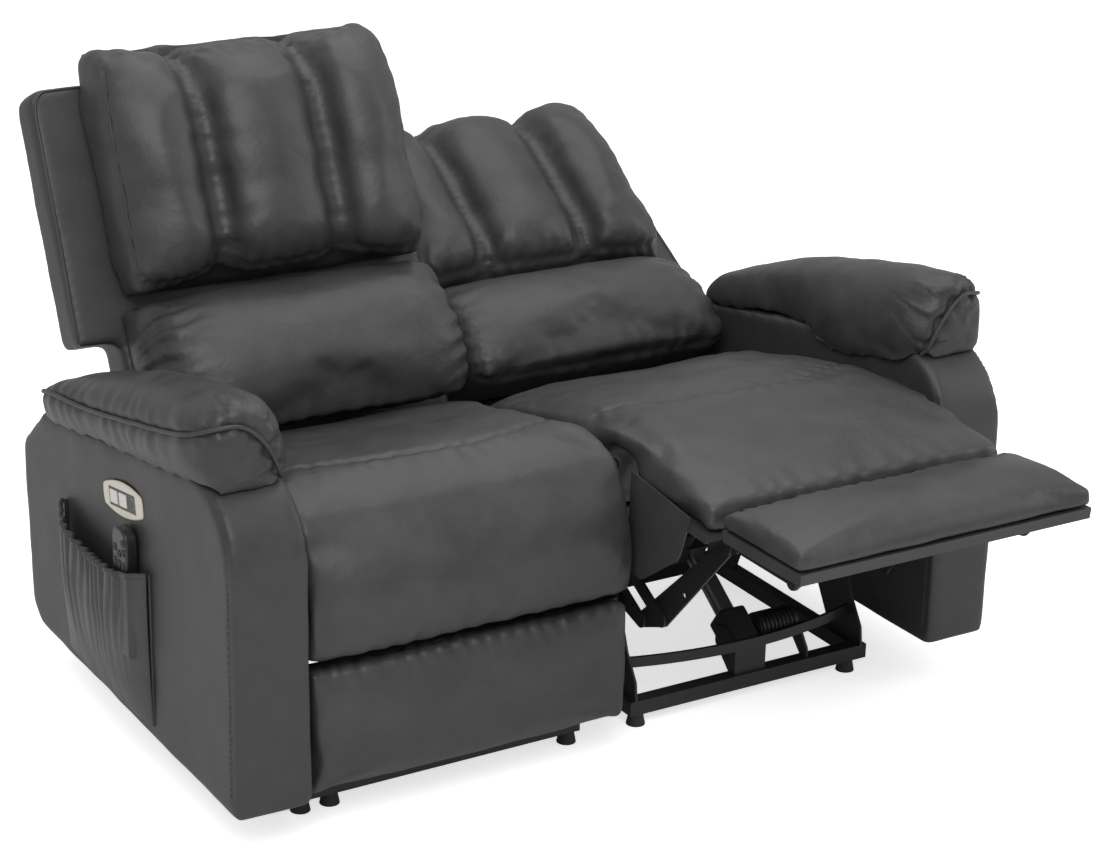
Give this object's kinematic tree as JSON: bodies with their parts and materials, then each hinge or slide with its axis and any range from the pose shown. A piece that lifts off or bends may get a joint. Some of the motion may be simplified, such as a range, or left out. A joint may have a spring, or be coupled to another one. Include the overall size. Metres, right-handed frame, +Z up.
{
  "type": "reclining sofa",
  "caption": "Powered reclining sofa for two in grey leather-look cover, with pillow arms, channelled backs, side pockets and a folding footrest at each seat.",
  "frame": {"origin": "on the floor under the middle of the object's box", "axes": "+Z up, the seats face -Y, +X to the viewer's right from the front"},
  "size_m": [1.4714, 1.5974, 1.0446],
  "materials": {
    "grey_leather": "grained faux leather, satin",
    "timber": "plain plywood",
    "black_steel": "black paint, semi-gloss",
    "spring_steel": "drawn wire",
    "black_nylon": "moulded, satin",
    "rail_aluminium": "extruded",
    "foot_rubber": "matt",
    "dust_cloth": "non-woven cloth",
    "pale_plastic": "satin moulding",
    "button_plastic": "satin moulding",
    "black_plastic": "fine texture",
    "socket_metal": "plated",
    "key_rubber": "matt"
  },
  "bodies": {
    "frame": {"left_arm": "grey_leather", "right_arm": "grey_leather", "left_arm_pad": "grey_leather", "right_arm_pad": "grey_leather", "left_side_pocket": "grey_leather", "right_side_pocket": "grey_leather", "panel_bezels": "pale_plastic", "panel_inserts": "black_plastic", "usb_sockets": "socket_metal", "side_plates": "black_steel", "base_frames": "black_steel", "base_feet": "foot_rubber", "seat_springs": "spring_steel", "dust_covers": "dust_cloth", "joining_brackets": "black_steel", "drive_motors": "black_nylon", "drive_rails": "rail_aluminium", "left_seat_box": "timber", "left_seat_cushion": "grey_leather", "right_seat_box": "timber", "right_seat_cushion": "grey_leather"},
    "left_chaise": {"left_chaise_pad": "grey_leather", "left_chaise_board": "timber", "left_chaise_brackets": "black_steel", "left_chaise_skirts": "grey_leather"},
    "left_footrest": {"left_footrest_pad": "grey_leather", "left_footrest_board": "grey_leather", "left_footrest_brackets": "black_steel"},
    "left_lift_links": {"left_lift_links": "black_steel"},
    "left_drive_links": {"left_drive_links": "black_steel"},
    "left_coupler_plates": {"left_coupler_plates": "black_steel"},
    "left_control_links": {"left_control_links": "black_steel"},
    "left_drive_block": {"left_drive_block": "black_nylon"},
    "left_back": {"left_back_shell": "grey_leather", "left_back_cushion": "grey_leather", "left_lumbar_cushion": "grey_leather", "left_back_brackets": "black_steel"},
    "left_close_button": {"left_close_button": "button_plastic"},
    "left_open_button": {"left_open_button": "button_plastic"},
    "right_chaise": {"right_chaise_pad": "grey_leather", "right_chaise_board": "timber", "right_chaise_brackets": "black_steel", "right_chaise_skirts": "grey_leather"},
    "right_footrest": {"right_footrest_pad": "grey_leather", "right_footrest_board": "grey_leather", "right_footrest_brackets": "black_steel"},
    "right_lift_links": {"right_lift_links": "black_steel"},
    "right_drive_links": {"right_drive_links": "black_steel"},
    "right_coupler_plates": {"right_coupler_plates": "black_steel"},
    "right_control_links": {"right_control_links": "black_steel"},
    "right_drive_block": {"right_drive_block": "black_nylon"},
    "right_back": {"right_back_shell": "grey_leather", "right_back_cushion": "grey_leather", "right_lumbar_cushion": "grey_leather", "right_back_brackets": "black_steel"},
    "right_close_button": {"right_close_button": "button_plastic"},
    "right_open_button": {"right_open_button": "button_plastic"},
    "handset": {"handset_case": "black_plastic"},
    "handset_keys": {"handset_keys": "key_rubber"}
  },
  "joints": [
    {"name": "left_chaise_swing", "type": "hinge", "parent": "frame", "child": "left_chaise", "pos_m": [-0.2875, -0.3593, 0.501], "axis": [-1, 0, 0], "range_deg": [0, 79]},
    {"name": "left_footrest_tilt", "type": "hinge", "parent": "left_chaise", "child": "left_footrest", "pos_m": [-0.2875, -0.39309, 0.27491], "axis": [-1, 0, 0], "range_deg": [0, 13.02]},
    {"name": "left_drive_crank", "type": "hinge", "parent": "frame", "child": "left_drive_links", "pos_m": [-0.2875, -0.1303, 0.287], "axis": [-1, 0, 0], "range_deg": [0, 79.02]},
    {"name": "left_lift_crank", "type": "hinge", "parent": "frame", "child": "left_lift_links", "pos_m": [-0.2875, -0.1893, 0.311], "axis": [-1, 0, 0], "range_deg": [0, 79.02]},
    {"name": "left_coupler_pivot", "type": "hinge", "parent": "left_lift_links", "child": "left_coupler_plates", "pos_m": [-0.2875, -0.12798, 0.11509], "axis": [-1, 0, 0], "range_deg": [-79.02, 0]},
    {"name": "left_control_pivot", "type": "hinge", "parent": "left_coupler_plates", "child": "left_control_links", "pos_m": [-0.2875, -0.31255, 0.31094], "axis": [-1, 0, 0], "range_deg": [0, 92.02]},
    {"name": "left_block_travel", "type": "slide", "parent": "frame", "child": "left_drive_block", "axis": [0, -0.8192, -0.5736], "range_m": [0, 0.06111]},
    {"name": "left_back_recline", "type": "hinge", "parent": "frame", "child": "left_back", "pos_m": [-0.2875, 0.1037, 0.331], "axis": [-1, 0, 0], "range_deg": [0, 33]},
    {"name": "left_close_press", "type": "slide", "parent": "frame", "child": "left_close_button", "axis": [1, 0, 0], "range_m": [0, 0.0015], "stiffness_N_per_m": 500, "springref_m": -0.0006},
    {"name": "left_open_press", "type": "slide", "parent": "frame", "child": "left_open_button", "axis": [1, 0, 0], "range_m": [0, 0.0015], "stiffness_N_per_m": 500, "springref_m": -0.0006},
    {"name": "right_chaise_swing", "type": "hinge", "parent": "frame", "child": "right_chaise", "pos_m": [0.2875, -0.3593, 0.501], "axis": [-1, 0, 0], "range_deg": [-79, 0]},
    {"name": "right_footrest_tilt", "type": "hinge", "parent": "right_chaise", "child": "right_footrest", "pos_m": [0.2875, -0.58768, 0.49103], "axis": [-1, 0, 0], "range_deg": [-13.02, 0]},
    {"name": "right_drive_crank", "type": "hinge", "parent": "frame", "child": "right_drive_links", "pos_m": [0.2875, -0.1303, 0.287], "axis": [-1, 0, 0], "range_deg": [-79.02, 0]},
    {"name": "right_lift_crank", "type": "hinge", "parent": "frame", "child": "right_lift_links", "pos_m": [0.2875, -0.1893, 0.311], "axis": [-1, 0, 0], "range_deg": [-79.02, 0]},
    {"name": "right_coupler_pivot", "type": "hinge", "parent": "right_lift_links", "child": "right_coupler_plates", "pos_m": [0.2875, -0.36992, 0.21343], "axis": [-1, 0, 0], "range_deg": [0, 79.02]},
    {"name": "right_control_pivot", "type": "hinge", "parent": "right_coupler_plates", "child": "right_control_links", "pos_m": [0.2875, -0.55449, 0.40929], "axis": [-1, 0, 0], "range_deg": [-92.02, 0]},
    {"name": "right_block_travel", "type": "slide", "parent": "frame", "child": "right_drive_block", "axis": [0, -0.8192, -0.5736], "range_m": [-0.06111, 0]},
    {"name": "right_back_recline", "type": "hinge", "parent": "frame", "child": "right_back", "pos_m": [0.2875, 0.1037, 0.331], "axis": [-1, 0, 0], "range_deg": [-33, 0]},
    {"name": "right_close_press", "type": "slide", "parent": "frame", "child": "right_close_button", "axis": [-1, 0, 0], "range_m": [0, 0.0015], "stiffness_N_per_m": 500, "springref_m": -0.0006},
    {"name": "right_open_press", "type": "slide", "parent": "frame", "child": "right_open_button", "axis": [-1, 0, 0], "range_m": [0, 0.0015], "stiffness_N_per_m": 500, "springref_m": -0.0006},
    {"name": "handset_lift", "type": "slide", "parent": "frame", "child": "handset", "axis": [0, 0, 1], "range_m": [0, 0.11]},
    {"name": "handset_key_press", "type": "slide", "parent": "handset", "child": "handset_keys", "axis": [1, 0, 0], "range_m": [0, 0.0008], "stiffness_N_per_m": 400, "springref_m": -0.0004}
  ],
  "couplings": [
    {"joint": "left_footrest_tilt", "follows": "left_chaise_swing", "ratio": 0.16456},
    {"joint": "left_drive_crank", "follows": "left_chaise_swing", "ratio": 1},
    {"joint": "left_lift_crank", "follows": "left_chaise_swing", "ratio": 1},
    {"joint": "left_coupler_pivot", "follows": "left_chaise_swing", "ratio": -1},
    {"joint": "left_control_pivot", "follows": "left_chaise_swing", "ratio": 1.1646},
    {"joint": "left_block_travel", "follows": "left_chaise_swing", "m_per_rad": 0.044287},
    {"joint": "right_footrest_tilt", "follows": "right_chaise_swing", "ratio": 0.16456},
    {"joint": "right_drive_crank", "follows": "right_chaise_swing", "ratio": 1},
    {"joint": "right_lift_crank", "follows": "right_chaise_swing", "ratio": 1},
    {"joint": "right_coupler_pivot", "follows": "right_chaise_swing", "ratio": -1},
    {"joint": "right_control_pivot", "follows": "right_chaise_swing", "ratio": 1.1646},
    {"joint": "right_block_travel", "follows": "right_chaise_swing", "m_per_rad": 0.044287}
  ]
}
